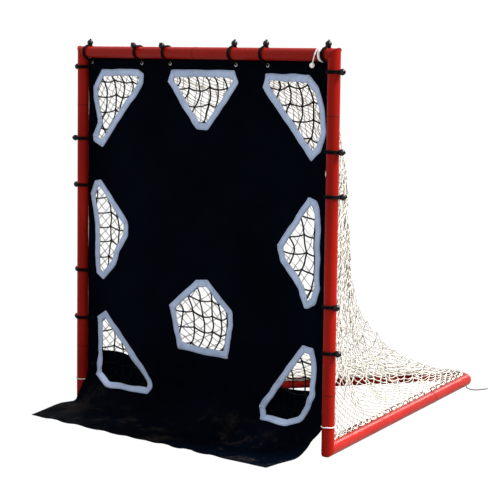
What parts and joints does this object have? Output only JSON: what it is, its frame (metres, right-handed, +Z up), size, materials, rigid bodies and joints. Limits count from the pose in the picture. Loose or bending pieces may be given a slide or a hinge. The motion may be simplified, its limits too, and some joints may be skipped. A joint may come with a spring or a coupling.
{
  "type": "field goal with net and target sheet",
  "caption": "Free-standing square tube goal with a V-shaped base, a laced net, and a hanging target sheet with netted holes held by ball bungees.",
  "frame": {"origin": "on the ground, at the centre of the footprint's bounding box", "axes": "+X to the right seen from the front, +Y from the goal mouth to the back of the V, +Z up"},
  "size_m": [2.0178, 2.5072, 1.9227],
  "materials": {
    "frame_paint": "semi-gloss orange-red powder coat",
    "sleeve_steel": "bare drawn steel",
    "button_zinc": "zinc plated",
    "spring_steel": "tempered spring steel",
    "loop_paint": "dark red powder coat",
    "rope_white": "braided polyester rope",
    "net_cord": "knotted off-white nylon cord",
    "sheet_vinyl": "coated woven fabric, near black",
    "webbing": "woven webbing, steel blue",
    "pocket_net": "knotted black cord net",
    "grommet_metal": "dull nickel plate",
    "bungee_elastic": "braided sleeve on elastic cord",
    "bungee_ball": "moulded plastic",
    "white_cord": "braided polyester cord",
    "white_ball": "moulded plastic",
    "tail_cord": "thin braided cord"
  },
  "bodies": {
    "frame": {"base_rail_left": "frame_paint", "base_rail_right": "frame_paint", "base_rope": "rope_white", "borders_lower": "webbing", "borders_middle": "webbing", "borders_top": "webbing", "bungee_balls_left": "bungee_ball", "bungee_balls_right": "bungee_ball", "bungee_balls_top": "bungee_ball", "bungee_cords_left": "bungee_elastic", "bungee_cords_right": "bungee_elastic", "bungee_cords_top": "bungee_elastic", "crossbar_left": "frame_paint", "crossbar_right": "frame_paint", "front_rope": "rope_white", "grommets": "grommet_metal", "lacing_loops_crossbar": "loop_paint", "lacing_loops_posts": "loop_paint", "lacing_loops_rails": "loop_paint", "net": "net_cord", "pocket_lower_centre": "pocket_net", "pocket_lower_left": "pocket_net", "pocket_lower_right": "pocket_net", "pocket_middle_left": "pocket_net", "pocket_middle_right": "pocket_net", "pocket_top_centre": "pocket_net", "pocket_top_left": "pocket_net", "pocket_top_right": "pocket_net", "post_foot_left": "frame_paint", "post_foot_right": "frame_paint", "post_middle_left": "frame_paint", "post_middle_right": "frame_paint", "post_top_left": "frame_paint", "post_top_right": "frame_paint", "rear_bend": "frame_paint", "single_ties": "white_cord", "snap_springs": "spring_steel", "spigot_crossbar": "sleeve_steel", "spigot_post_foot_left": "sleeve_steel", "spigot_post_foot_right": "sleeve_steel", "spigot_post_top_left": "sleeve_steel", "spigot_post_top_right": "sleeve_steel", "spigot_rail_left": "sleeve_steel", "spigot_rail_right": "sleeve_steel", "tail_cord": "tail_cord", "target_lower": "sheet_vinyl", "target_upper": "sheet_vinyl", "triple_tie": "white_cord", "white_ball": "white_ball", "white_cord": "white_cord"},
    "button_crossbar": {"snap_button_crossbar": "button_zinc"},
    "button_post_top_left": {"snap_button_post_top_left": "button_zinc"},
    "button_post_top_right": {"snap_button_post_top_right": "button_zinc"},
    "button_post_foot_left": {"snap_button_post_foot_left": "button_zinc"},
    "button_post_foot_right": {"snap_button_post_foot_right": "button_zinc"},
    "button_rail_left": {"snap_button_rail_left": "button_zinc"},
    "button_rail_right": {"snap_button_rail_right": "button_zinc"},
    "apron": {"target_apron": "sheet_vinyl"}
  },
  "joints": [
    {"name": "apron_fold", "type": "hinge", "parent": "frame", "child": "apron", "pos_m": [0, -0.95024, 0.001], "axis": [-1, 0, 0], "range_deg": [0, 80]},
    {"name": "press_crossbar", "type": "slide", "parent": "frame", "child": "button_crossbar", "axis": [0, 1, 0], "range_m": [-0.006, 0], "stiffness_N_per_m": 500, "springref_m": 0.003},
    {"name": "press_post_top_left", "type": "slide", "parent": "frame", "child": "button_post_top_left", "axis": [0, 1, 0], "range_m": [-0.006, 0], "stiffness_N_per_m": 500, "springref_m": 0.003},
    {"name": "press_post_top_right", "type": "slide", "parent": "frame", "child": "button_post_top_right", "axis": [0, 1, 0], "range_m": [-0.006, 0], "stiffness_N_per_m": 500, "springref_m": 0.003},
    {"name": "press_post_foot_left", "type": "slide", "parent": "frame", "child": "button_post_foot_left", "axis": [0, 1, 0], "range_m": [-0.006, 0], "stiffness_N_per_m": 500, "springref_m": 0.003},
    {"name": "press_post_foot_right", "type": "slide", "parent": "frame", "child": "button_post_foot_right", "axis": [0, 1, 0], "range_m": [-0.006, 0], "stiffness_N_per_m": 500, "springref_m": 0.003},
    {"name": "press_rail_left", "type": "slide", "parent": "frame", "child": "button_rail_left", "axis": [0.9144, -0.4048, 0], "range_m": [-0.006, 0], "stiffness_N_per_m": 500, "springref_m": 0.003},
    {"name": "press_rail_right", "type": "slide", "parent": "frame", "child": "button_rail_right", "axis": [-0.9144, -0.4048, 0], "range_m": [-0.006, 0], "stiffness_N_per_m": 500, "springref_m": 0.003}
  ]
}
